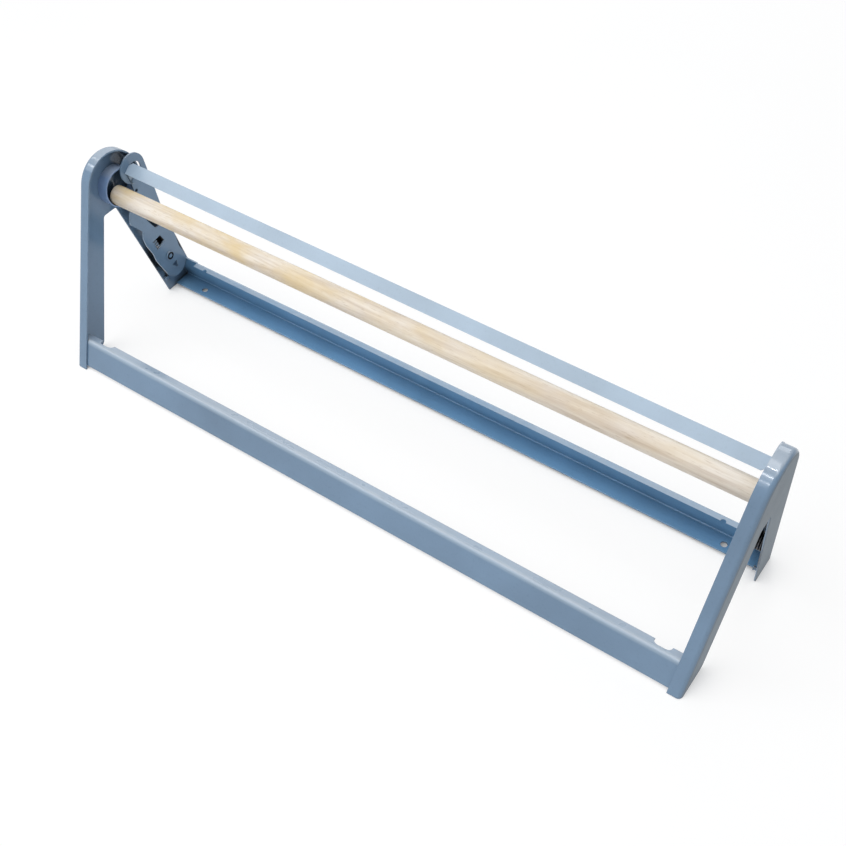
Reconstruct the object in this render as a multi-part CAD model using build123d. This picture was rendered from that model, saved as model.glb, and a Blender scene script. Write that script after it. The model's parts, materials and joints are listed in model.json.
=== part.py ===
from build123d import *
import math
import os

# Gift wrap paper cutter for a shop counter: two folded sheet-metal end frames joined by two rails, a wooden
# rod for the paper roll in two round cups, and a cutter bar on two sprung arms that press it on the roll.
# Sizes are in mm.  X runs from the left end to the right end, Y from the front to the back, Z up from the
# counter.  The outlines below count Y from the tip of the front foot; place() moves the origin to the middle.

# Overall
LENGTH = 650.0            # outer face of one end frame to the outer face of the other
DEPTH = 160.3             # tip of the front foot to the tip of the rear foot
SHEET = 1.5               # thickness of all the sheet steel

# End frame: an upside-down V with a rounded top
APEX_FROM_BACK = 63.3     # centre of the rounded top, in from the tip of the rear foot
APEX_HEIGHT = 153.0
APEX_R = 30.0
FLANGE = 12.0             # how far the turned edge stands in from the outer face
FRAME_BEND = 4.0          # outside radius of the bend to that edge; the rails stop where it starts
FRONT_FOOT = 35.0         # length of the front leg's foot
FRONT_FOOT_R = 6.0
REAR_FOOT = 30.9          # length of the rear leg's foot
CROTCH_DROP = 30.5        # centre of the rounded top down to where the legs part
CROTCH_FRONT = -14.7      # from that centre along Y to the gap's front and rear corners
CROTCH_REAR = 0.9
CROTCH_R = 3.0

# Rails
FACE_LOW = 4.0            # the front rail's face, measured up the slope of the front legs
FACE_TOP = 31.5
FRONT_SHELF = 10.5        # depth of the front rail's top flange
FRONT_BEND = 3.2          # outside radius of its bend
NOTCH_FROM_END = 29.5     # relief notches in that flange
NOTCH_WIDTH = 15.0
NOTCH_DEPTH = 6.0
NOTCH_R = 4.5
REAR_BEND = 2.4           # outside radius of the rear rail's bends
WALL_TOP = 32.5           # the rear rail's wall, measured up the slope of the rear legs
LIP = 6.0                 # depth of the rear rail's top lip
LIP_FROM_END = 28.0
LIP_NOTCH_FROM_END = 42.5
LIP_NOTCH_R = 2.4
BASE_Z = 2.5              # underside of the rear rail's bottom flange
BASE_DEPTH = 20.0
SCREW_R = 3.0             # holes in that flange for screwing the cutter to the counter
SCREW_FROM_END = 36.5
SCREW_IN = 14.3           # in from the tip of the rear foot

# Rod and cups
CUP_FROM_APEX = (5.8, -8.0)    # centre of the cups, from the centre of the rounded top
CUP_BORE_R = 17.0
CUP_WALL = 1.2
ROD_R = 8.95
ROD_END = 8.0             # outer face of the end frame to the end of the rod
ROD_LIFT = 0.3            # clearance between the rod and the cups
ROD_ROLL = 31.0           # the sprung arms push the rod this many degrees up the front of the cups
ROD_EDGE = 0.8

# Pivot of the cutter arms, up the rear leg's outer edge and in from it, and the spring's anchor pin below it
PIVOT_UP = 53.93
PIVOT_IN = 17.95
ANCHOR_UP = 23.3
ANCHOR_IN = 27.55

# Cutter arm, a flat plate just inside the end frame's flange.  Its upper outline is given from the centre
# of the cups and its lower outline from the pivot, each corner with the radius that rounds it.
ARM_GAP = 1.1             # flange to arm
ARM_RACK = 1.5            # degrees that the right arm leans further forward than the left one
ROD_RELIEF = 0.4          # clearance of the rod in the hollow of the arm's front edge
EAR_FROM_CUP = (16.2, 11.2)
EAR_R = 14.3
FINGER_HOLE_FROM_CUP = (18.2, 9.5)
FINGER_HOLE_R = 7.3
HEEL_FROM_PIVOT = (5.0, -13.2)
HEEL_R = 14.0
FRONT_TOP = [((8.4, 2.0), 0.0), ((10.1, -3.0), 5.0), ((10.5, -16.0), 5.0), ((-1.8, -27.0), 7.0),
             ((-4.8, -37.5), 4.0), ((6.8, -53.6), 1.6), ((4.8, -60.4), 1.6), ((6.0, -70.0), 9.0)]
FRONT_LOW = [((-17.9, 13.0), 9.0), ((-16.6, 3.6), 9.0)]
REAR_LOW = [((14.5, 1.0), 14.0), ((13.0, 17.0), 30.0)]
REAR_TOP = [((35.2, -40.0), 40.0), ((33.6, -20.0), 40.0)]
LIGHTENING = [(13.4, -42.3), (21.4, -57.9), (26.4, -59.7), (27.8, -52.9), (24.2, -36.9), (16.7, -32.5)]
LIGHTENING_R = 1.8
ARROW = [(7.2, -10.4), (0.4, -12.2), (6.4, -18.8)]
ARROW_R = 0.5
PEEP_FROM_CUP = (13.0, -10.4)
PEEP_R = 1.7

# Spring window in the arm, from the pivot: four fingers along its front edge take the spring's leg at four
# tensions
WINDOW_LOW = (-12.0, 14.4)     # closed ends of the lowest and of the highest finger
WINDOW_HIGH = (-14.6, 25.4)
WINDOW_REAR_LOW = (-0.6, 19.0)
WINDOW_REAR_HIGH = (-4.4, 27.2)
FINGERS = 4
FINGER_WIDTH = 2.0
FINGER_DEPTH = 4.4
SPRING_FINGER = 1              # the finger in use, counted from the lowest

# Cutter bar, a flat strip that leans back, with a tab bent down at each end
BAR_FROM_CUP = (11.3, 14.5)
BAR_LEAN = 34.0
BAR_WIDTH = 11.6
BAR_CORNER = 3.5
BAR_EDGE = 0.6
TAB_ON_BAR = (-4.6, 0.7)       # where the tab starts and ends along the strip's width
TAB = [(11.6, 5.5), (15.2, 1.8), (14.7, -1.4), (10.2, -1.8)]
TAB_R = 1.2
BAR_RACK = 3.0                 # degrees that the strip's right end sits further forward, about the pivots
BAR_RIVET_FROM_CUP = (12.2, 1.5)
BAR_RIVET_R = 1.75
BAR_RIVET_HEAD_R = 2.6
BAR_RIVET_BACK = 0.7           # thin head on the outer side, where the arm passes the cup
BAR_RIVET_FRONT = 1.1
BAR_RIVET_ROUND = 0.75

# Pivot: rivet, spacer tube and washer
PIVOT_R = 3.2
PIVOT_HEAD_R = 4.4              # countersunk head, flush with the end frame's outer face
PIVOT_HEAD = 1.2
PIVOT_ROLL_R = 4.6
PIVOT_ROLL = 1.5
PIVOT_ROLL_ROUND = 0.75
PIVOT_GROOVE = (2.2, 3.9)
PIVOT_GROOVE_DEPTH = 1.1
RUNNING = 0.06                 # radial clearance of the arm on its rivet
FIT = 0.05                     # radial clearance of fixed pins in their holes
SIDE_PLAY = 0.15               # the arm has this much on either side
WASHER = 0.7
WASHER_R = 6.3
SPACER_R = 5.4

# Tension spring, wound round the spacer; one leg bears on the anchor pin, the other is in the arm's window
WIRE = 1.4
COIL_R = 7.6
COIL_PITCH = 1.95
COIL_TURNS = 4
COIL_GAP = 0.3                 # between the first turn and the end frame
HOOK_BEND = 1.7
HOOK_END = 2.0                 # how far the hook stands out from the arm
ANCHOR_R = 1.5                 # its outer end is flush too
ANCHOR_LENGTH = 3.6
ANCHOR_HEAD_R = 2.4
ANCHOR_HEAD = 0.8
ANCHOR_GAP = 0.3
LEG_PAST_ANCHOR = 4.0
GAP_STEP = 0.4                 # the printed gap is measured between points this far apart along the wire
GAP_SKIP = 6                   # and not between points nearer along it than this many wire diameters


def place(part):
    """Moves a part from the outlines' origin to the middle of the cutter."""
    return Pos(-LENGTH / 2, -DEPTH / 2, 0) * part


def opposite(part):
    """The same part at the right end."""
    return mirror(part, about=Plane.YZ)


def along_x(sketch, start, end):
    """A Y-Z outline given its thickness between two distances from the left end."""
    return Pos(start, 0, 0) * extrude(Plane.YZ * sketch, end - start)


def disc(centre, radius):
    return Pos(centre[0], centre[1]) * Circle(radius)


def outline(points):
    return make_face(Polyline(*points, close=True))


def rounded(face, corner, radius):
    """The face with the corner at the given point rounded."""
    nearest = face.vertices().sort_by_distance(Vector(corner[0], corner[1], 0))[0]
    return fillet(nearest, radius)


def tangent_point(corner, centre, radius, side):
    """Where the line from a corner touches a circle; side is +1 or -1 for the left or right of its centre."""
    across, up = centre[0] - corner[0], centre[1] - corner[1]
    distance = math.hypot(across, up)
    lean = math.atan2(up, across) + side * math.asin(radius / distance)
    reach = math.sqrt(distance ** 2 - radius ** 2)
    return (corner[0] + reach * math.cos(lean), corner[1] + reach * math.sin(lean))


def shifted(origin, step):
    """A place of the outlines, given from another."""
    return (origin[0] + step[0], origin[1] + step[1])


def shifted_all(origin, steps):
    return [shifted(origin, step) for step in steps]


# Centre of the rounded top, slopes of the two legs' outer edges, and distances measured along and in from them
APEX = (DEPTH - APEX_FROM_BACK, APEX_HEIGHT)
FRONT_TOUCH = tangent_point((0.0, 0.0), APEX, APEX_R, 1)
REAR_TOUCH = tangent_point((DEPTH, 0.0), APEX, APEX_R, -1)
FRONT_LEAN = math.atan2(FRONT_TOUCH[1], FRONT_TOUCH[0])
REAR_LEAN = math.atan2(REAR_TOUCH[1], REAR_TOUCH[0] - DEPTH)
FRONT_REACH = math.hypot(FRONT_TOUCH[0], FRONT_TOUCH[1])
REAR_REACH = math.hypot(REAR_TOUCH[0] - DEPTH, REAR_TOUCH[1])


def on_front(up, inward):
    c, s = math.cos(FRONT_LEAN), math.sin(FRONT_LEAN)
    return (up * c + inward * s, up * s - inward * c)


def on_rear(up, inward):
    c, s = math.cos(REAR_LEAN), math.sin(REAR_LEAN)
    return (DEPTH + up * c - inward * s, up * s + inward * c)


# Places that the pieces share
CUP_CENTRE = shifted(APEX, CUP_FROM_APEX)
ROD_REACH = CUP_BORE_R - ROD_R - ROD_LIFT
ROD = (CUP_CENTRE[0] - ROD_REACH * math.sin(math.radians(ROD_ROLL)),
       CUP_CENTRE[1] - ROD_REACH * math.cos(math.radians(ROD_ROLL)))
PIVOT = on_rear(PIVOT_UP, PIVOT_IN)
ANCHOR = on_rear(ANCHOR_UP, ANCHOR_IN)
ARM_X = FLANGE + ARM_GAP
RAIL_START = FRAME_BEND
BAR_RIVET = shifted(CUP_CENTRE, BAR_RIVET_FROM_CUP)


def leaned(part, degrees):
    """The part, already placed, turned forward about the pivots."""
    axis = Axis((0, PIVOT[0] - DEPTH / 2, PIVOT[1]), (1, 0, 0))
    return part.rotate(axis, degrees)


def turned(point, degrees):
    """A place of the outlines turned forward about the pivot."""
    c, s = math.cos(math.radians(degrees)), math.sin(math.radians(degrees))
    y, z = point[0] - PIVOT[0], point[1] - PIVOT[1]
    return shifted(PIVOT, (y * c - z * s, y * s + z * c))


def silhouette(inset):
    """The end frame's outer shape without its gap, drawn in by a distance."""
    front_foot = (inset / math.sin(FRONT_LEAN), 0.0)
    rear_foot = (DEPTH - inset / math.sin(REAR_LEAN), 0.0)
    r = APEX_R - inset
    front = (APEX[0] - r * math.sin(FRONT_LEAN), APEX[1] + r * math.cos(FRONT_LEAN))
    rear = (APEX[0] + r * math.sin(REAR_LEAN), APEX[1] - r * math.cos(REAR_LEAN))
    top = (APEX[0], APEX[1] + r)
    legs = Polyline(front_foot, front) + Polyline(rear, rear_foot, front_foot)
    return make_face(legs + ThreePointArc(front, top, rear))


def pan(inset):
    """The silhouette drawn in by a distance, as deep as the turned edge, with its outer rim rounded."""
    block = along_x(silhouette(inset), inset, FLANGE)
    rim_points = [on_front(FRONT_REACH / 2, inset), shifted(APEX, (0.0, APEX_R - inset)),
                  on_rear(REAR_REACH / 2, inset)]
    outer_edges = block.edges().filter_by_position(Axis.X, inset - 0.01, inset + 0.01)
    rim = [outer_edges.sort_by_distance(Vector(inset, y, z))[0] for y, z in rim_points]
    return fillet(rim, FRAME_BEND - inset)


def end_frame():
    gap_corners = [(FRONT_FOOT, 0.0), shifted(APEX, (CROTCH_FRONT, -CROTCH_DROP)),
                   shifted(APEX, (CROTCH_REAR, -CROTCH_DROP)), (DEPTH - REAR_FOOT, 0.0)]
    web = silhouette(0.0) - outline(gap_corners)
    web = rounded(web, gap_corners[0], FRONT_FOOT_R)
    web = rounded(web, gap_corners[1], CROTCH_R)
    web = rounded(web, gap_corners[2], CROTCH_R)
    web = web - disc(PIVOT, PIVOT_R + FIT) - disc(ANCHOR, ANCHOR_R + FIT)
    openings = silhouette(0.0) - web
    return place(pan(0.0) - pan(SHEET) - along_x(openings, -SHEET, 2 * SHEET) - countersink(FIT))


def front_rail():
    low, top, back = FACE_LOW, FACE_TOP, SHEET + FRONT_SHELF
    points = [on_front(low, SHEET), on_front(top, SHEET), on_front(top, back),
              on_front(top - SHEET, back), on_front(top - SHEET, 2 * SHEET), on_front(low, 2 * SHEET)]
    profile = outline(points)
    profile = rounded(profile, points[1], FRONT_BEND)
    profile = rounded(profile, points[4], FRONT_BEND - SHEET)
    rail = along_x(profile, RAIL_START, LENGTH - RAIL_START)
    y, z = on_front(top - 2 * SHEET, back)
    up_slope = (0, math.cos(FRONT_LEAN), math.sin(FRONT_LEAN))
    shelf = Plane(origin=(0, y, z), x_dir=(1, 0, 0), z_dir=up_slope)
    for x in (NOTCH_FROM_END, LENGTH - NOTCH_FROM_END):
        notch = shelf * (Pos(x, 0) * RectangleRounded(NOTCH_WIDTH, 2 * NOTCH_DEPTH, NOTCH_R))
        rail = rail - extrude(notch, 4 * SHEET)
    return place(rail)


def rear_rail():
    inner_wall_z = BASE_Z + SHEET
    wall_slope = math.cos(REAR_LEAN) / math.sin(REAR_LEAN)
    base_front = DEPTH - SHEET - BASE_DEPTH

    def on_wall(z, inward):
        return (DEPTH + z * wall_slope - inward / math.sin(REAR_LEAN), z)

    def profile(lip):
        back = SHEET + lip
        points = [(base_front, BASE_Z), on_wall(BASE_Z, SHEET), on_rear(WALL_TOP, SHEET),
                  on_rear(WALL_TOP, back), on_rear(WALL_TOP - SHEET, back),
                  on_rear(WALL_TOP - SHEET, 2 * SHEET), on_wall(inner_wall_z, 2 * SHEET),
                  (base_front, inner_wall_z)]
        if lip == SHEET:
            points = points[:4] + points[6:]
        face = outline(points)
        face = rounded(face, points[1], REAR_BEND)
        face = rounded(face, points[-2], REAR_BEND - SHEET)
        if lip > SHEET:
            face = rounded(face, points[2], REAR_BEND)
            face = rounded(face, points[5], REAR_BEND - SHEET)
        return face

    start, end = RAIL_START, LENGTH - RAIL_START
    lip_start, lip_end = LIP_FROM_END, LENGTH - LIP_FROM_END
    rail = along_x(profile(SHEET), start, lip_start)
    rail = rail + along_x(profile(LIP), lip_start, lip_end)
    rail = rail + along_x(profile(SHEET), lip_end, end)
    y, z = on_rear(WALL_TOP - 2 * SHEET, SHEET + LIP)
    lip_plane = Plane(origin=(0, y, z), x_dir=(1, 0, 0), z_dir=(0, math.cos(REAR_LEAN), math.sin(REAR_LEAN)))
    for from_end in (LIP_NOTCH_FROM_END, LENGTH - LIP_NOTCH_FROM_END):
        rail = rail - extrude(lip_plane * (Pos(from_end, 0) * Circle(LIP_NOTCH_R)), 4 * SHEET)
    for x in (SCREW_FROM_END, LENGTH - SCREW_FROM_END):
        rail = rail - Pos(x, DEPTH - SCREW_IN, BASE_Z + SHEET / 2) * Cylinder(SCREW_R, 3 * SHEET)
    return place(rail)


def rod_cup():
    """A ring welded to the web, trimmed where it runs into the end frame's bend."""
    ring = disc(CUP_CENTRE, CUP_BORE_R + CUP_WALL) - disc(CUP_CENTRE, CUP_BORE_R)
    return place(along_x(ring, SHEET, FLANGE) & pan(SHEET))


def wood_rod():
    rod = along_x(disc(ROD, ROD_R), ROD_END, LENGTH - ROD_END)
    return place(chamfer(rod.edges().filter_by(GeomType.CIRCLE), ROD_EDGE))


def finger_frame():
    """Direction up the window's comb, direction into the window, and distance from finger to finger."""
    across, up = WINDOW_HIGH[0] - WINDOW_LOW[0], WINDOW_HIGH[1] - WINDOW_LOW[1]
    span = math.hypot(across, up)
    return (across / span, up / span), (up / span, -across / span), (span - FINGER_WIDTH) / (FINGERS - 1)


def finger_end(number):
    """Centre of the rounded end of one finger, from the pivot."""
    up, inward, step = finger_frame()
    along = FINGER_WIDTH / 2 + number * step
    return (WINDOW_LOW[0] + up[0] * along + inward[0] * FINGER_WIDTH / 2,
            WINDOW_LOW[1] + up[1] * along + inward[1] * FINGER_WIDTH / 2)


def spring_window():
    """The window's outline, from the pivot."""
    up, inward, step = finger_frame()
    low = (WINDOW_LOW[0] + inward[0] * FINGER_DEPTH, WINDOW_LOW[1] + inward[1] * FINGER_DEPTH)
    high = (WINDOW_HIGH[0] + inward[0] * FINGER_DEPTH, WINDOW_HIGH[1] + inward[1] * FINGER_DEPTH)
    opening = outline([low, high, WINDOW_REAR_HIGH, WINDOW_REAR_LOW])
    tilt = math.degrees(math.atan2(inward[1], inward[0]))
    for number in range(FINGERS):
        y, z = finger_end(number)
        slot = Rot(0, 0, tilt) * (Pos(FINGER_DEPTH / 2, 0) * Rectangle(FINGER_DEPTH, FINGER_WIDTH))
        opening = opening + Pos(y, z) * (slot + Circle(FINGER_WIDTH / 2))
    return opening


def cutter_arm():
    ear, heel = shifted(CUP_CENTRE, EAR_FROM_CUP), shifted(PIVOT, HEEL_FROM_PIVOT)
    front = [(shifted(CUP_CENTRE, step), radius) for step, radius in FRONT_TOP]
    front = front + [(shifted(PIVOT, step), radius) for step, radius in FRONT_LOW]
    rear = [(shifted(PIVOT, step), radius) for step, radius in REAR_LOW]
    rear = rear + [(shifted(CUP_CENTRE, step), radius) for step, radius in REAR_TOP]
    corners = [point for point, radius in front]
    corners = corners + [tangent_point(front[-1][0], heel, HEEL_R, -1), heel]
    corners = corners + [tangent_point(rear[0][0], heel, HEEL_R, 1)] + [point for point, radius in rear]
    corners = corners + [tangent_point(rear[-1][0], ear, EAR_R, -1), ear]
    plate = outline(corners)
    for point, radius in front + rear:
        if radius > 0:
            plate = rounded(plate, point, radius)
    plate = plate + disc(ear, EAR_R) + disc(heel, HEEL_R)
    for lean in (0.0, ARM_RACK):
        plate = plate - disc(turned(ROD, -lean), ROD_R + ROD_RELIEF)
    lightening = outline(shifted_all(CUP_CENTRE, LIGHTENING))
    for corner in shifted_all(CUP_CENTRE, LIGHTENING):
        lightening = rounded(lightening, corner, LIGHTENING_R)
    arrow = outline(shifted_all(PIVOT, ARROW))
    for corner in shifted_all(PIVOT, ARROW):
        arrow = rounded(arrow, corner, ARROW_R)
    plate = plate - lightening - arrow - Pos(*PIVOT) * spring_window()
    plate = plate - disc(shifted(CUP_CENTRE, FINGER_HOLE_FROM_CUP), FINGER_HOLE_R)
    plate = plate - disc(shifted(CUP_CENTRE, PEEP_FROM_CUP), PEEP_R)
    plate = plate - disc(PIVOT, PIVOT_R + RUNNING) - disc(BAR_RIVET, BAR_RIVET_R + FIT)
    return place(along_x(plate, ARM_X, ARM_X + SHEET))


def on_bar(along, out=0.0):
    """A place on the left end of the cutter bar's strip: along its width and out from its middle."""
    c, s = math.cos(math.radians(BAR_LEAN)), math.sin(math.radians(BAR_LEAN))
    return shifted(shifted(CUP_CENTRE, BAR_FROM_CUP), (along * c - out * s, along * s + out * c))


def bar_tab(strip_lean, arm_lean):
    """The tab from the strip's end down to its rivet in the arm, each leaned forward by its own degrees."""
    corners = [turned(on_bar(along), strip_lean) for along in TAB_ON_BAR]
    corners = corners + [turned(point, arm_lean) for point in shifted_all(CUP_CENTRE, TAB)]
    tab = outline(corners)
    for corner in corners[2:]:
        tab = rounded(tab, corner, TAB_R)
    tab = tab - disc(turned(BAR_RIVET, arm_lean), BAR_RIVET_R + FIT)
    return place(along_x(tab, ARM_X + SHEET, ARM_X + 2 * SHEET))


def bar_trim(side):
    """What is cut off the strip's left end at its rear corner (side +1) or front corner (side -1)."""
    edge, margin = BAR_WIDTH / 2, SHEET
    y, z = on_bar(0.0)
    lean = math.radians(BAR_LEAN)
    strip = Plane(origin=(ARM_X + SHEET, y, z), x_dir=(1, 0, 0), z_dir=(0, -math.sin(lean), math.cos(lean)))
    corner = outline([(-margin, side * (edge + margin)), (BAR_CORNER + margin, side * (edge + margin)),
                      (-margin, side * (edge - BAR_CORNER - margin))])
    return place(extrude(strip * corner, 2 * SHEET, both=True))


def cutter_bar():
    """The strip runs straight from arm to arm and twists as far as its right end leans forward."""
    half, thick = BAR_WIDTH / 2, SHEET / 2
    section = outline([on_bar(BAR_EDGE - half, -thick), on_bar(half, -thick), on_bar(half, thick),
                       on_bar(-half, thick), on_bar(-half, BAR_EDGE - thick)])
    start = ARM_X + SHEET
    left_end = place(Pos(start, 0, 0) * (Plane.YZ * section))
    right_end = leaned(Pos(LENGTH - 2 * start, 0, 0) * left_end, BAR_RACK)
    bar = loft([left_end, right_end], ruled=True) - bar_trim(1) - leaned(opposite(bar_trim(-1)), BAR_RACK)
    return bar + bar_tab(0.0, 0.0) + opposite(bar_tab(BAR_RACK, ARM_RACK))


def bar_rivet():
    back = along_x(disc(BAR_RIVET, BAR_RIVET_HEAD_R), ARM_X - BAR_RIVET_BACK, ARM_X)
    shank = along_x(disc(BAR_RIVET, BAR_RIVET_R), ARM_X, ARM_X + 2 * SHEET)
    front_x = ARM_X + 2 * SHEET
    front = along_x(disc(BAR_RIVET, BAR_RIVET_HEAD_R), front_x, front_x + BAR_RIVET_FRONT)
    rim = front.edges().filter_by(GeomType.CIRCLE).sort_by(Axis.X)[-1]
    return place(back + shank + fillet(rim, BAR_RIVET_ROUND))


def countersink(clearance):
    """The cone of the pivot rivet's head, or with a clearance the hollow for it in the end frame."""
    cone = Cone(PIVOT_HEAD_R + clearance, PIVOT_R + clearance, PIVOT_HEAD)
    return Pos(PIVOT_HEAD / 2, PIVOT[0], PIVOT[1]) * Rot(0, 90, 0) * cone


def pivot_rivet():
    head = countersink(0.0)
    roll_x = ARM_X + SHEET + SIDE_PLAY
    shank = along_x(disc(PIVOT, PIVOT_R), 0, roll_x)
    roll = along_x(disc(PIVOT, PIVOT_ROLL_R), roll_x, roll_x + PIVOT_ROLL)
    roll = fillet(roll.edges().filter_by(GeomType.CIRCLE).sort_by(Axis.X)[-1], PIVOT_ROLL_ROUND)
    groove = disc(PIVOT, PIVOT_GROOVE[1]) - disc(PIVOT, PIVOT_GROOVE[0])
    roll = roll - along_x(groove, roll_x + PIVOT_ROLL - PIVOT_GROOVE_DEPTH, roll_x + PIVOT_ROLL + SHEET)
    return place(head + shank + roll)


def pivot_washer():
    end = ARM_X - SIDE_PLAY
    return place(along_x(disc(PIVOT, WASHER_R) - disc(PIVOT, PIVOT_R + FIT), end - WASHER, end))


def pivot_spacer():
    end = ARM_X - SIDE_PLAY - WASHER
    return place(along_x(disc(PIVOT, SPACER_R) - disc(PIVOT, PIVOT_R + FIT), SHEET, end))


def spring_anchor():
    pin = along_x(disc(ANCHOR, ANCHOR_R), 0, SHEET + ANCHOR_LENGTH)
    tip = along_x(disc(ANCHOR, ANCHOR_HEAD_R), SHEET + ANCHOR_LENGTH - ANCHOR_HEAD, SHEET + ANCHOR_LENGTH)
    return place(pin + tip)


def biarc(start, start_way, end, end_way):
    """Two arcs that leave one point along one direction and reach another along another."""
    chord, ways = end - start, start_way + end_way
    turn = 2 * (1 - start_way.dot(end_way))
    along = chord.dot(ways)
    reach = (math.sqrt(along ** 2 + turn * chord.dot(chord)) - along) / turn
    first, last = start + start_way * reach, end - end_way * reach
    middle = (first + last) * 0.5
    middle_way = (last - first).normalized()
    return [Edge.make_tangent_arc(start, start_way, middle), Edge.make_tangent_arc(middle, middle_way, end)]


def spring_path(lean):
    """Centre line of the left spring: up from the anchor pin, round the spacer and into the arm's window.

    The arm leans forward by the given degrees.
    """
    def at(x, y, z):
        return Vector(x, PIVOT[0] + y, PIVOT[1] + z)

    def touch(y, z, side):
        """Angle on the coil where a leg from a point leaves it."""
        return math.atan2(z, y) + side * math.acos(COIL_R / math.hypot(y, z))

    coil_x = SHEET + COIL_GAP + WIRE / 2
    leg_x = coil_x + COIL_TURNS * COIL_PITCH
    hook = turned(shifted(PIVOT, finger_end(SPRING_FINGER)), lean)
    hook_y, hook_z = hook[0] - PIVOT[0], hook[1] - PIVOT[1]
    foot_y = ANCHOR[0] + ANCHOR_R + ANCHOR_GAP + WIRE / 2 - PIVOT[0]
    foot_z = ANCHOR[1] - PIVOT[1]
    first = touch(foot_y, foot_z, -1) + 2 * math.pi
    last = touch(hook_y, hook_z, 1)
    sweep_angle = first - last + 2 * math.pi * COIL_TURNS
    quarters = 4 * COIL_TURNS
    rise = COIL_TURNS * COIL_PITCH / sweep_angle

    def on_coil(number):
        angle = first - sweep_angle * number / quarters
        x = coil_x + rise * (first - angle)
        climb = rise if 0 < number < quarters else 0.0
        way = Vector(climb, COIL_R * math.sin(angle), -COIL_R * math.cos(angle)).normalized()
        return at(x, COIL_R * math.cos(angle), COIL_R * math.sin(angle)), way

    start, start_way = on_coil(0)
    end, end_way = on_coil(quarters)
    foot_length = math.hypot(foot_y, foot_z) + LEG_PAST_ANCHOR
    edges = [Edge.make_line(start - start_way * foot_length, start)]
    for number in range(quarters):
        here, here_way = on_coil(number)
        there, there_way = on_coil(number + 1)
        edges = edges + biarc(here, here_way, there, there_way)
    leg_length = math.sqrt(hook_y ** 2 + hook_z ** 2 - COIL_R ** 2) - HOOK_BEND
    knee = end + end_way * leg_length
    edges.append(Edge.make_line(end, knee))
    across = Vector(1, 0, 0)
    bend_end = knee + end_way * HOOK_BEND + across * HOOK_BEND
    edges = edges + biarc(knee, end_way, bend_end, across)
    hook_length = ARM_X + SHEET + HOOK_END - bend_end.X
    edges.append(Edge.make_line(bend_end, bend_end + across * hook_length))
    return edges


def least_gap(edges, wire):
    """Least gap between parts of a wire that are not next to each other along it."""
    points, travelled, run = [], [], 0.0
    for edge in edges:
        steps = max(2, int(edge.length / GAP_STEP))
        for number in range(steps):
            points.append(edge.position_at(number / steps))
            travelled.append(run + edge.length * number / steps)
        run = run + edge.length
    gap = math.inf
    for i in range(len(points)):
        for j in range(i + 1, len(points)):
            if travelled[j] - travelled[i] > GAP_SKIP * wire:
                gap = min(gap, (points[i] - points[j]).length - wire)
    return gap


def tension_spring(lean=0.0):
    edges = spring_path(lean)
    start = edges[0].position_at(0)
    section = Plane(origin=start, z_dir=edges[0].tangent_at(0)) * Circle(WIRE / 2)
    print("spring: least gap to itself", round(least_gap(edges, WIRE), 2), "mm")
    return place(sweep(section, path=Wire(edges)))


def build():
    parts = {
        "front_rail": front_rail(),
        "rear_rail": rear_rail(),
        "wood_rod": wood_rod(),
        "cutter_bar": cutter_bar(),
    }
    pairs = {
        "end_frame": end_frame(),
        "rod_cup": rod_cup(),
        "cutter_arm": cutter_arm(),
        "bar_rivet": bar_rivet(),
        "pivot_rivet": pivot_rivet(),
        "pivot_washer": pivot_washer(),
        "pivot_spacer": pivot_spacer(),
        "tension_spring": tension_spring(),
        "spring_anchor": spring_anchor(),
    }
    for name, part in pairs.items():
        parts["left_" + name] = part
        parts["right_" + name] = opposite(part)
    for name in ("right_cutter_arm", "right_bar_rivet"):
        parts[name] = leaned(parts[name], ARM_RACK)
    parts["right_tension_spring"] = opposite(tension_spring(ARM_RACK))
    return parts


os.makedirs("parts", exist_ok=True)
for name, part in build().items():
    solids = part.solids()
    shape = solids[0] if len(solids) == 1 else Compound(children=list(solids))
    box = shape.bounding_box()
    print(name, len(solids), round(shape.volume, 1), [round(v, 2) for v in (*box.min, *box.max)])
    export_step(shape, "parts/" + name + ".step")
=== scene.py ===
import json
import math
import bpy
from mathutils import Matrix, Vector


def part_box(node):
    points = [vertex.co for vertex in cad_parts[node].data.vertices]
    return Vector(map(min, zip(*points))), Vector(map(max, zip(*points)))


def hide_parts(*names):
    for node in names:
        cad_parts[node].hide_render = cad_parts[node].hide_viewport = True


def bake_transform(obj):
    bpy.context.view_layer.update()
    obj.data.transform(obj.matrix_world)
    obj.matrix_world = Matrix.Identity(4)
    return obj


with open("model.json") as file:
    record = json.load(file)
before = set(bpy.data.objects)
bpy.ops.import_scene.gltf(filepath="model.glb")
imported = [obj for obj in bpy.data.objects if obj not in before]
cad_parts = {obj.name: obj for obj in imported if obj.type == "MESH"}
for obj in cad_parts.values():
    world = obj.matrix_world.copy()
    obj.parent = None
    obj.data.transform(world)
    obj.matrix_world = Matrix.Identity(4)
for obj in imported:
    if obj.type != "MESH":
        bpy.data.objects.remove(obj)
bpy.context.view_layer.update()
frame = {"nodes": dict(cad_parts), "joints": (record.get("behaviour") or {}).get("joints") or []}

# ---------------------------------------------------------------- camera, at the photograph's viewpoint

cam_data = bpy.data.cameras.new("camera")
cam_data.sensor_width = 36.0
cam_data.lens = 46.27
cam_data.shift_y = 0.124
cam_data.clip_start = 0.01
cam = bpy.data.objects.new("camera", cam_data)
bpy.context.scene.collection.objects.link(cam)
eye = (0.41243, -0.48465, 0.74299)
right = Vector((0.8154184, 0.5773215, -0.0423406))
down = Vector((0.4445903, -0.6714293, -0.5928930))
ahead = Vector((-0.3707186, 0.4646316, -0.8041674))
turn = Matrix((right, -down, -ahead)).transposed().to_4x4()
cam.matrix_world = Matrix.Translation(eye) @ turn
bpy.context.scene.camera = cam

# ---------------------------------------------------------------- node helpers


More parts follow.
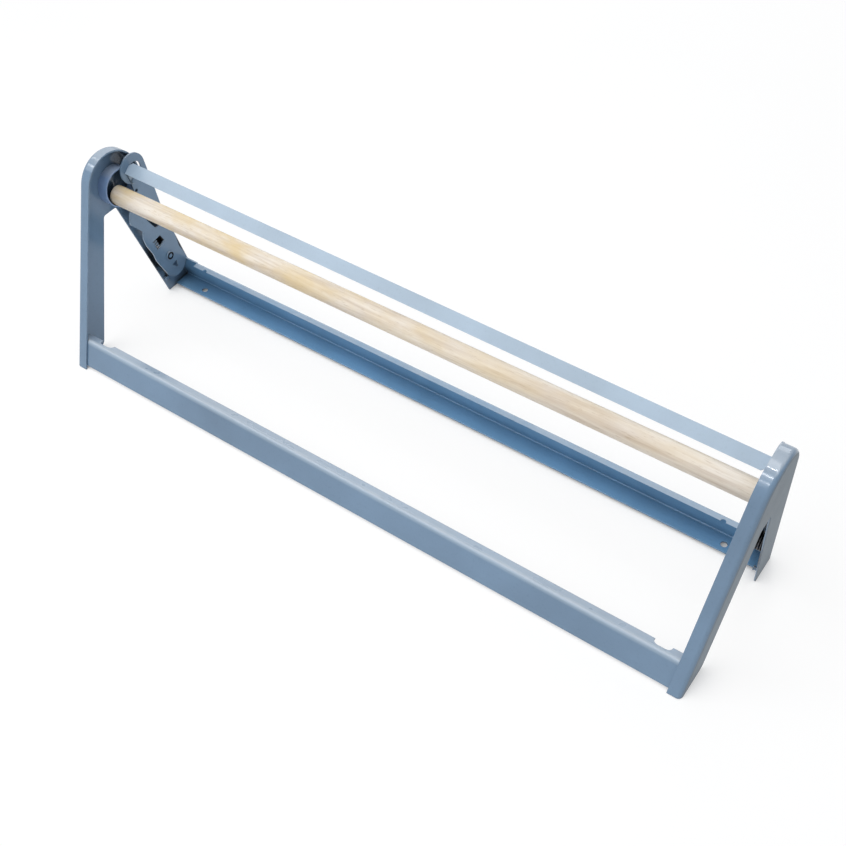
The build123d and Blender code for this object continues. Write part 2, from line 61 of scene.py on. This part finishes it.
class Nodes:
    """Short names for the shader nodes that the materials use."""

    def __init__(self, name):
        self.material = bpy.data.materials.new(name)
        self.material.use_nodes = True
        self.tree = self.material.node_tree
        self.tree.nodes.clear()
        self.out = self.tree.nodes.new("ShaderNodeOutputMaterial")
        self.bsdf = self.tree.nodes.new("ShaderNodeBsdfPrincipled")
        self.link(self.bsdf.outputs[0], self.out.inputs[0])
        coords = self.tree.nodes.new("ShaderNodeTexCoord")
        self.place = coords.outputs["Object"]

    def link(self, source, target):
        self.tree.links.new(source, target)

    def put(self, socket, value):
        """Feed a socket from another node's output, or set it to a plain value."""
        if hasattr(value, "links"):
            self.link(value, socket)
        else:
            socket.default_value = value

    def scaled(self, x, y, z):
        """The place on the part times a factor along each axis, for stretched noise."""
        mapping = self.tree.nodes.new("ShaderNodeMapping")
        mapping.inputs["Scale"].default_value = (x, y, z)
        self.link(self.place, mapping.inputs["Vector"])
        return mapping.outputs[0]

    def noise(self, scale, detail=3.0, rough=0.5, at=None, warp=0.0):
        node = self.tree.nodes.new("ShaderNodeTexNoise")
        node.inputs["Scale"].default_value = scale
        node.inputs["Detail"].default_value = detail
        node.inputs["Roughness"].default_value = rough
        node.inputs["Distortion"].default_value = warp
        self.link(at or self.place, node.inputs["Vector"])
        return node.outputs["Fac"]

    def ramp(self, value, stops):
        """A value as a colour, from stops of (value, colour)."""
        node = self.tree.nodes.new("ShaderNodeValToRGB")
        self.link(value, node.inputs[0])
        band = node.color_ramp
        while len(band.elements) < len(stops):
            band.elements.new(0.5)
        for element, (where, colour) in zip(band.elements, stops):
            element.position = where
            element.color = (*colour, 1.0)
        return node.outputs[0]

    def span(self, value, low, high, from_low=0.0, from_high=1.0):
        """A value carried from one range to another and held within it."""
        node = self.tree.nodes.new("ShaderNodeMapRange")
        self.link(value, node.inputs["Value"])
        node.inputs["From Min"].default_value = from_low
        node.inputs["From Max"].default_value = from_high
        node.inputs["To Min"].default_value = low
        node.inputs["To Max"].default_value = high
        return node.outputs[0]

    def mix(self, factor, first, second, kind="MIX"):
        node = self.tree.nodes.new("ShaderNodeMix")
        node.data_type = "RGBA"
        node.blend_type = kind
        sockets = [socket for socket in node.inputs if socket.enabled]
        for socket, value in zip(sockets, (factor, first, second)):
            is_colour = not hasattr(value, "links") and not isinstance(value, float)
            self.put(socket, (*value, 1.0) if is_colour else value)
        return [s for s in node.outputs if s.enabled][0]

    def maths(self, kind, first, second=0.0):
        node = self.tree.nodes.new("ShaderNodeMath")
        node.operation = kind
        self.put(node.inputs[0], first)
        self.put(node.inputs[1], second)
        return node.outputs[0]

    def bump(self, height, distance, normal=None):
        """Relief on the surface: a height from 0 to 1 times a distance in metres."""
        node = self.tree.nodes.new("ShaderNodeBump")
        node.inputs["Strength"].default_value = 1.0
        node.inputs["Distance"].default_value = distance
        self.link(height, node.inputs["Height"])
        if normal is not None:
            self.link(normal, node.inputs["Normal"])
        return node.outputs[0]

    def rounded_edges(self, radius):
        """The normal as if the edges were rounded."""
        node = self.tree.nodes.new("ShaderNodeBevel")
        node.samples = 4
        node.inputs["Radius"].default_value = radius
        return node.outputs[0]

    def recess(self, distance):
        """1 on open surfaces, falling to 0 in corners and narrow gaps."""
        node = self.tree.nodes.new("ShaderNodeAmbientOcclusion")
        node.samples = 8
        node.inputs["Distance"].default_value = distance
        return node.outputs["AO"]

    def parts_of_place(self):
        split = self.tree.nodes.new("ShaderNodeSeparateXYZ")
        self.link(self.place, split.inputs[0])
        return split.outputs

    def off_axis(self, y, z):
        """Distance from an axis along X through the given Y and Z."""
        place = self.parts_of_place()
        across = self.maths("SUBTRACT", place[1], y)
        up = self.maths("SUBTRACT", place[2], z)
        across_squared = self.maths("MULTIPLY", across, across)
        up_squared = self.maths("MULTIPLY", up, up)
        return self.maths("SQRT", self.maths("ADD", across_squared, up_squared))

    def outward(self, start, end):
        """0 round the middle of the part, rising to 1 between two distances from it along X."""
        return self.span(self.maths("ABSOLUTE", self.parts_of_place()[0]), 0.0, 1.0, start, end)

    def faces_up_above_flange(self):
        """1 where a surface faces up, higher than the rear rail's bottom flange, and 0 elsewhere."""
        geometry = self.tree.nodes.new("ShaderNodeNewGeometry")
        split = self.tree.nodes.new("ShaderNodeSeparateXYZ")
        self.link(geometry.outputs["Normal"], split.inputs[0])
        facing_up = self.span(split.outputs[2], 0.0, 1.0, *UPWARD)
        high = self.span(self.parts_of_place()[2], 0.0, 1.0, *ABOVE_FLANGE)
        return self.maths("MULTIPLY", facing_up, high)

    def near_edge(self, radius):
        """1 along the sheets' edges, where the rounded normal leans from the true one, else 0."""
        true = self.tree.nodes.new("ShaderNodeNewGeometry").outputs["True Normal"]
        dot = self.tree.nodes.new("ShaderNodeVectorMath")
        dot.operation = "DOT_PRODUCT"
        self.link(true, dot.inputs[0])
        self.link(self.rounded_edges(radius), dot.inputs[1])
        return self.span(dot.outputs["Value"], 1.0, 0.0, 0.75, 0.97)


def linear(*screen):
    """A screen's red, green and blue, 0 to 255, as the linear values that shaders take."""
    shares = [value / 255 for value in screen]
    return tuple(s / 12.92 if s <= 0.04045 else ((s + 0.055) / 1.055) ** 2.4 for s in shares)


def shades(colour, spread):
    """A darker tone of a colour, the colour and a lighter tone."""
    return [tuple(c * f for c in colour) for f in (1 - spread, 1.0, 1 + spread)]


def enamel(name, colour, worn_and_lit_edges=False, roughness=0.12, recess=0.022, dusty=0.0, dark=None, pale=None):
    """Stoved enamel on sheet steel: a glossy, slightly wavy film, painted darker in its recesses as
    shade.

    Where worn is set, the film is paler at the sheets' edges, from wear and a painted edge highlight.
    The outermost faces are dulled by scuffing and painted darker and greyer as shade.  What faces up is
    paler, dusted and with a painted sheen, and rougher by dusty.  Where dark or pale is given, it makes
    the mask of painted shade in black or of a painted highlight in the pale edge colour from these
    nodes.
    """
    n = Nodes(name)
    low, plain, high = shades(colour, 0.13)
    clouds = n.ramp(n.noise(9.0, 4.0, 0.55), [(0.3, low), (0.5, plain), (0.72, high)])
    specks = n.ramp(n.noise(420.0, 2.0, 0.6), [(0.30, (0.8, 0.8, 0.8)), (0.42, (1, 1, 1))])
    coat = n.mix(0.3, clouds, specks, "MULTIPLY")
    # outermost faces: painted shade, darker and greyer, and duller from scuffing
    scuff_and_shade = n.outward(*OUTER_FACE)
    coat = n.mix(n.maths("MULTIPLY", scuff_and_shade, 0.6), coat, SCUFF_AND_SHADE)
    # paler edges: wear, and a painted edge highlight
    if worn_and_lit_edges:
        chips = n.span(n.noise(160.0, 3.0, 0.6), 0.0, 0.45, 0.4, 0.65)
        coat = n.mix(n.maths("MULTIPLY", n.near_edge(CHIP_R), chips), coat, WEAR_AND_HIGHLIGHT)
    # painted highlight, in the pale edge colour
    if pale:
        coat = n.mix(n.maths("MULTIPLY", pale(n), 0.6), coat, WEAR_AND_HIGHLIGHT)
    # paler where it faces up: dusted, and with a painted sheen
    patches = n.span(n.noise(30.0, 3.0, 0.6), 0.35, 0.65, 0.35, 0.65)
    dust_and_sheen = n.maths("MULTIPLY", n.faces_up_above_flange(), patches)
    coat = n.mix(dust_and_sheen, coat, DUST_AND_SHEEN)
    # painted shade: darker in corners and narrow gaps
    recess_shade = n.ramp(n.recess(recess), [(0.08, (0.05, 0.055, 0.06)), (0.52, (1.0, 1.0, 1.0))])
    coat = n.mix(1.0, coat, recess_shade, "MULTIPLY")
    # painted shade, in black
    if dark:
        coat = n.mix(dark(n), coat, SHADE_BLACK)
    n.link(coat, n.bsdf.inputs["Base Color"])
    film = n.span(n.noise(60.0, 4.0, 0.6), roughness - 0.05, roughness + 0.07)
    dulled = n.maths("ADD", n.maths("MULTIPLY", scuff_and_shade, 0.40), n.maths("MULTIPLY", dust_and_sheen, dusty))
    n.link(n.maths("ADD", film, dulled), n.bsdf.inputs["Roughness"])
    waves = n.bump(n.noise(45.0, 2.0, 0.5), 0.0002, n.rounded_edges(EDGE_R) if worn_and_lit_edges else None)
    n.link(n.bump(n.noise(420.0, 2.0, 0.5), 0.00002, waves), n.bsdf.inputs["Normal"])
    return n.material


def pivot_groove_shade(n):
    """Painted shade, in black, in the groove that the riveting tool leaves in the pivots' inner ends.
    """
    distance = n.off_axis(*PIVOT.yz)
    outside = n.maths("GREATER_THAN", distance, GROOVE[0])
    ring = n.maths("MULTIPLY", outside, n.maths("LESS_THAN", distance, GROOVE[1]))
    return n.maths("MULTIPLY", ring, n.span(n.outward(*ARM_BACK), 1.0, 0.0))


def rail_bend_highlight(n):
    """A painted highlight along the bend between the front rail's face and its shelf."""
    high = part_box("front_rail")[1]
    distance = n.off_axis(high[1] - BEND_FORWARD, high[2] - BEND_DOWN)
    return n.span(distance, 1.0, 0.0, *BEND_WIDTH)


def arm_shade(n):
    """Painted shade, in black, between the end frames and the arms and round the pivots."""
    spread = n.span(n.off_axis(*PIVOT.yz), 1.0, 0.0, *SHADE_REACH)
    behind_arm = n.maths("MULTIPLY", spread, n.outward(*ARM_BACK))
    return n.maths("MULTIPLY", behind_arm, n.span(n.outward(*OUTER_FACE), 0.92, 0.0))


def birch(name):
    """Turned hardwood dowel: grain along it, short dark pores, and yellowish patches at one end."""
    n = Nodes(name)
    fine = n.noise(1.0, 6.0, 0.65, n.scaled(16.0, 700.0, 700.0), 0.4)
    pores = n.noise(1.0, 2.0, 0.5, n.scaled(120.0, 1500.0, 1500.0))
    broad = n.noise(1.0, 4.0, 0.6, n.scaled(7.0, 90.0, 90.0), 0.8)
    patches = n.noise(1.0, 3.0, 0.55, n.scaled(26.0, 60.0, 60.0))
    dull, plain, pale = linear(201, 187, 172), linear(222, 212, 199), linear(234, 227, 217)
    wood = n.ramp(broad, [(0.3, dull), (0.5, plain), (0.72, pale)])
    grain = n.ramp(fine, [(0.34, (0.74, 0.68, 0.60)), (0.56, (1.0, 1.0, 1.0))])
    wood = n.mix(0.4, wood, grain, "MULTIPLY")
    pits = n.ramp(pores, [(0.30, (0.62, 0.54, 0.46)), (0.38, (1.0, 1.0, 1.0))])
    wood = n.mix(0.5, wood, pits, "MULTIPLY")
    low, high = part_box("wood_rod")
    leftward = n.span(n.parts_of_place()[0], 1.0, 0.25, low[0], 0.6 * high[0])
    yellow = n.maths("MULTIPLY", n.span(patches, 0.0, 0.85, 0.36, 0.68), leftward)
    n.link(n.mix(yellow, wood, linear(212, 186, 130)), n.bsdf.inputs["Base Color"])
    n.bsdf.inputs["Specular IOR Level"].default_value = 0.15
    n.link(n.span(fine, 0.40, 0.58), n.bsdf.inputs["Roughness"])
    n.link(n.bump(fine, 0.00010, n.bump(pores, 0.00006)), n.bsdf.inputs["Normal"])
    return n.material


def steel(name, colour, dark, roughness):
    """Plain steel with drawn lines and small stains, painted black as shade where it is hemmed in."""
    n = Nodes(name)
    n.bsdf.inputs["Metallic"].default_value = 1.0
    lines = n.noise(1.0, 3.0, 0.6, n.scaled(300.0, 2500.0, 2500.0))
    metal = n.ramp(n.noise(350.0, 4.0, 0.6), [(0.32, dark), (0.6, colour)])
    # painted shade: black where the steel is hemmed in
    hemmed_shade = n.ramp(n.recess(0.012), [(0.15, (0.06, 0.06, 0.06)), (0.7, (1.0, 1.0, 1.0))])
    n.link(n.mix(1.0, metal, hemmed_shade, "MULTIPLY"), n.bsdf.inputs["Base Color"])
    n.link(n.span(lines, roughness - 0.08, roughness + 0.12), n.bsdf.inputs["Roughness"])
    n.link(n.bump(lines, 0.00002, n.rounded_edges(STEEL_EDGE_R)), n.bsdf.inputs["Normal"])
    return n.material


SWING = next(joint for joint in frame["joints"] if joint["name"] == "arm_swing")
PIVOT = Vector((0, *SWING["pos_m"][1:]))

# Where each mask starts and ends, in metres
OUTER_FACE = (0.3240, 0.3248)     # along X from the middle: the end frames' outer faces
ARM_BACK = (0.3123, 0.3128)       # along X from the middle: the space between arms and end frames
ABOVE_FLANGE = (0.015, 0.020)     # height that clears the rear rail's bottom flange
GROOVE = (0.0021, 0.0040)         # radii round the pivots
SHADE_REACH = (0.015, 0.030)     # radii round the pivots
BEND_FORWARD = 0.0094             # from the front rail's rear edge to its bend
BEND_DOWN = 0.0010                # from the front rail's top to its bend
BEND_WIDTH = (0.0008, 0.0036)     # distances from the bend
UPWARD = (0.80, 0.98)             # not metres: the upward share of the normal

# Radii of the edges, in metres
CHIP_R = 0.0004                   # as far as the wear and the painted edge highlight reach
EDGE_R = 0.0006                   # rounding of the coated sheet
STEEL_EDGE_R = 0.0003             # rounding of the plain steel

BLUE_GREY = (0.152, 0.238, 0.346)
# pale colour of the edges' wear and of painted highlights
WEAR_AND_HIGHLIGHT = linear(176, 190, 202)
# colour where it faces up: dusted, and a painted sheen
DUST_AND_SHEEN = linear(182, 190, 198)
# painted shade: the outermost faces darker and greyer
SCUFF_AND_SHADE = (0.120, 0.132, 0.125)
# black of the painted shade
SHADE_BLACK = (0.010, 0.011, 0.013)

# dark: painted shade behind the arms, round the pivots
frame_enamel = enamel("frame_enamel", BLUE_GREY, worn_and_lit_edges=True, dark=arm_shade)
# dark: painted shade in the pivots' grooves
pivot_enamel = enamel("pivot_enamel", BLUE_GREY, dark=pivot_groove_shade)
# painted light: the frame's enamel made lighter on the cups, which sit in shadow
cup_lit_enamel = enamel("cup_lit_enamel", (0.215, 0.320, 0.520), worn_and_lit_edges=True, recess=0.004)
# pale: painted highlight along the rail's bend
front_enamel = enamel("front_enamel", BLUE_GREY, worn_and_lit_edges=True, dusty=0.5, pale=rail_bend_highlight)
# painted reflection: the enamel made bluer on the rear rail; dark adds painted shade by the arms
rail_reflection_enamel = enamel("rail_reflection_enamel", (0.148, 0.302, 0.485), worn_and_lit_edges=True, dusty=0.5, dark=arm_shade)
# painted light: the enamel made lighter on the cutter bar, as the light on its upward face
bar_enamel = enamel("bar_enamel", (0.315, 0.410, 0.510), roughness=0.30)
rod_wood = birch("rod_wood")
spring_steel = steel("spring_steel", (0.20, 0.20, 0.21), (0.09, 0.09, 0.10), 0.32)

LOOKS = {
    "front_rail": front_enamel,
    "rear_rail": rail_reflection_enamel,
    "cutter_bar": bar_enamel,
    "wood_rod": rod_wood,
    "left_pivot_rivet": pivot_enamel,
    "right_pivot_rivet": pivot_enamel,
    "left_rod_cup": cup_lit_enamel,
    "right_rod_cup": cup_lit_enamel,
}
for name, node in frame["nodes"].items():
    look = LOOKS.get(name, frame_enamel)
    if name.endswith(("_washer", "_spacer")):
        look = spring_steel
    node.data.materials.clear()
    node.data.materials.append(look)

# ---------------------------------------------------------------- tension springs

WIRE = 0.0014
COIL_R = 0.0076           # to the middle of the wire
COIL_TURNS = 4
COIL_PITCH = 0.00195
FOOT_FROM_ANCHOR = 0.0025    # middle of the anchor pin to the middle of the wire that bears on it
HOOK_BEND = 0.0017
STEPS_A_TURN = 40
HOOK_STEPS = 8


def tube(name, points, radius, sides=14):
    """A closed mesh tube along a smooth line of points."""
    verts, faces = [], []
    side = Vector((0, 0, 1))
    for number, point in enumerate(points):
        before, after = points[max(number - 1, 0)], points[min(number + 1, len(points) - 1)]
        way = (after - before).normalized()
        side = (side - way * side.dot(way)).normalized()
        across = way.cross(side)
        for turn in range(sides):
            angle = 2 * math.pi * turn / sides
            verts.append(point + (side * math.cos(angle) + across * math.sin(angle)) * radius)
    for ring in range(len(points) - 1):
        for turn in range(sides):
            here, there = ring * sides + turn, ring * sides + (turn + 1) % sides
            faces.append((here, there, there + sides, here + sides))
    faces.append(tuple(reversed(range(sides))))
    faces.append(tuple(range(len(verts) - sides, len(verts))))
    mesh = bpy.data.meshes.new(name)
    mesh.from_pydata([tuple(v) for v in verts], [], faces)
    mesh.shade_smooth()
    piece = bpy.data.objects.new(name, mesh)
    bpy.context.scene.collection.objects.link(piece)
    return piece


def touch(y, z, side):
    """Angle on the coil where a straight leg from a point beside it leaves it."""
    return math.atan2(z, y) + side * math.acos(COIL_R / math.hypot(y, z))


def tension_spring(end):
    """The spring at one end: from the anchor pin, round the spacer and into the arm's window."""
    node = end + "_tension_spring"
    low, high = (Vector(corner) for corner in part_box(node))
    pin_low, pin_high = (Vector(corner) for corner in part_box(end + "_spring_anchor"))
    pin = (pin_low + pin_high) / 2 - PIVOT
    inward = 1 if end == "left" else -1
    outer_x = low.x + WIRE / 2 if end == "left" else high.x - WIRE / 2
    tip_x = high.x if end == "left" else low.x
    inner_x = outer_x + inward * COIL_TURNS * COIL_PITCH
    hook = Vector((0, low.y + WIRE / 2, high.z - WIRE / 2)) - PIVOT
    foot_y = pin.y + FOOT_FROM_ANCHOR
    first = touch(foot_y, pin.z, -1) + 2 * math.pi
    last = touch(hook.y, hook.z, 1)
    turned = first - last + 2 * math.pi * COIL_TURNS

    def on_coil(angle):
        return PIVOT + Vector((0, COIL_R * math.cos(angle), COIL_R * math.sin(angle)))

    def at(x, point):
        return Vector((x, point.y, point.z))

    start, finish = at(outer_x, on_coil(first)), at(inner_x, on_coil(last))
    foot_way = Vector((0, math.sin(first), -math.cos(first)))
    foot = start - foot_way * ((start.z - low.z - WIRE / 2 * abs(foot_way.y)) / foot_way.z)
    points = [foot, foot.lerp(start, 0.5), foot.lerp(start, 0.97)]
    steps = int(STEPS_A_TURN * turned / (2 * math.pi))
    for step in range(steps + 1):
        share = step / steps
        points.append(at(outer_x + (inner_x - outer_x) * share, on_coil(first - turned * share)))
    leg_way = Vector((0, math.sin(last), -math.cos(last)))
    knee = at(inner_x, PIVOT + hook) - leg_way * HOOK_BEND
    points += [finish.lerp(knee, 0.03), finish.lerp(knee, 0.5)]
    for step in range(HOOK_STEPS + 1):
        angle = math.pi / 2 * step / HOOK_STEPS
        across = Vector((inward * HOOK_BEND * (1 - math.cos(angle)), 0, 0))
        points.append(knee + leg_way * HOOK_BEND * math.sin(angle) + across)
    points.append(at(tip_x, points[-1]))
    piece = tube(end + "_spring_wire", points, WIRE / 2)
    piece.data.materials.append(spring_steel)
    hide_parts(node)
    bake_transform(piece)


for end in ("left", "right"):
    tension_spring(end)

# ---------------------------------------------------------------- floor, world and lights

FLOOR_HALF = 6
FLOOR_DROP = 0.0006       # the floor lies this far under the feet


def white_to_camera(tree, shader, out, share=None):
    """White, by a share, where the camera, a reflection or a view through glass sees it."""
    rays = tree.nodes.new("ShaderNodeLightPath")
    white = tree.nodes.new("ShaderNodeEmission" if out.bl_idname == "ShaderNodeOutputMaterial"
                           else "ShaderNodeBackground")
    white.inputs["Color"].default_value = (1, 1, 1, 1)
    white.inputs["Strength"].default_value = 1.0
    seen = rays.outputs["Is Camera Ray"]
    for kind in ("Is Glossy Ray", "Is Transmission Ray"):
        either = tree.nodes.new("ShaderNodeMath")
        either.operation = "MAXIMUM"
        tree.links.new(seen, either.inputs[0])
        tree.links.new(rays.outputs[kind], either.inputs[1])
        seen = either.outputs[0]
    if share:
        part = tree.nodes.new("ShaderNodeMath")
        part.operation = "MULTIPLY"
        tree.links.new(seen, part.inputs[0])
        tree.links.new(share, part.inputs[1])
        seen = part.outputs[0]
    mix = tree.nodes.new("ShaderNodeMixShader")
    tree.links.new(seen, mix.inputs[0])
    tree.links.new(shader.outputs[0], mix.inputs[1])
    tree.links.new(white.outputs[0], mix.inputs[2])
    tree.links.new(mix.outputs[0], out.inputs[0])


world = bpy.data.worlds.new("studio")
world.use_nodes = True
bpy.context.scene.world = world
background = world.node_tree.nodes["Background"]
background.inputs["Color"].default_value = (0.93, 0.96, 1.0, 1)
background.inputs["Strength"].default_value = 0.38
white_to_camera(world.node_tree, background, world.node_tree.nodes["World Output"])

floor_mesh = bpy.data.meshes.new("floor")
corners = [(x * FLOOR_HALF, y * FLOOR_HALF, 0) for x, y in ((-1, -1), (1, -1), (1, 1), (-1, 1))]
floor_mesh.from_pydata(corners, [], [(0, 1, 2, 3)])
floor = bpy.data.objects.new("floor", floor_mesh)
floor.location.z = -FLOOR_DROP
bpy.context.scene.collection.objects.link(floor)
paper = Nodes("floor_paper")
paper.link(paper.ramp(paper.noise(3.0), [(0.3, (0.93, 0.93, 0.93)), (0.7, (0.97, 0.97, 0.97))]),
           paper.bsdf.inputs["Base Color"])
paper.bsdf.inputs["Roughness"].default_value = 0.9
open_floor = paper.span(paper.recess(0.03), 0.0, 0.8, 0.1, 0.95)
white_to_camera(paper.tree, paper.bsdf, paper.out, open_floor)
floor_mesh.materials.append(paper.material)


def softbox(name, where, aim, size, watts):
    data = bpy.data.lights.new(name, "AREA")
    data.shape = "RECTANGLE"
    data.size, data.size_y = size
    data.energy = watts
    lamp = bpy.data.objects.new(name, data)
    lamp.location = where
    lamp.rotation_euler = (Vector(aim) - Vector(where)).to_track_quat("-Z", "Y").to_euler()
    bpy.context.scene.collection.objects.link(lamp)


MIDDLE = (0, 0, 0.08)
RIGHT_APEX, LEFT_APEX = (0.319, 0.017, 0.18), (-0.319, 0.017, 0.18)
softbox("key", (-0.62, -0.80, 1.6), MIDDLE, (2.0, 1.5), 23.5)
softbox("back", (-0.7, 1.75, 0.6), MIDDLE, (2.0, 0.8), 9)
softbox("top", (0.25, 0.25, 1.7), MIDDLE, (1.4, 0.5), 7.5)
for y, z in ((0.05, 1.95), (-0.65, 1.8)):
    for x in (0.078, 0.118):
        softbox("ceiling", (x, y, z), RIGHT_APEX, (0.009, 0.05), 0.36)
for y, z in ((0.25, 1.59), (-0.47, 1.53)):
    softbox("ceiling", (-1.71, y, z), LEFT_APEX, (0.03, 0.25), 0.5)
softbox("flash", (0.225, -0.53, 0.80), RIGHT_APEX, (0.02, 0.03), 0.12)

bpy.context.scene.view_settings.view_transform = "Standard"
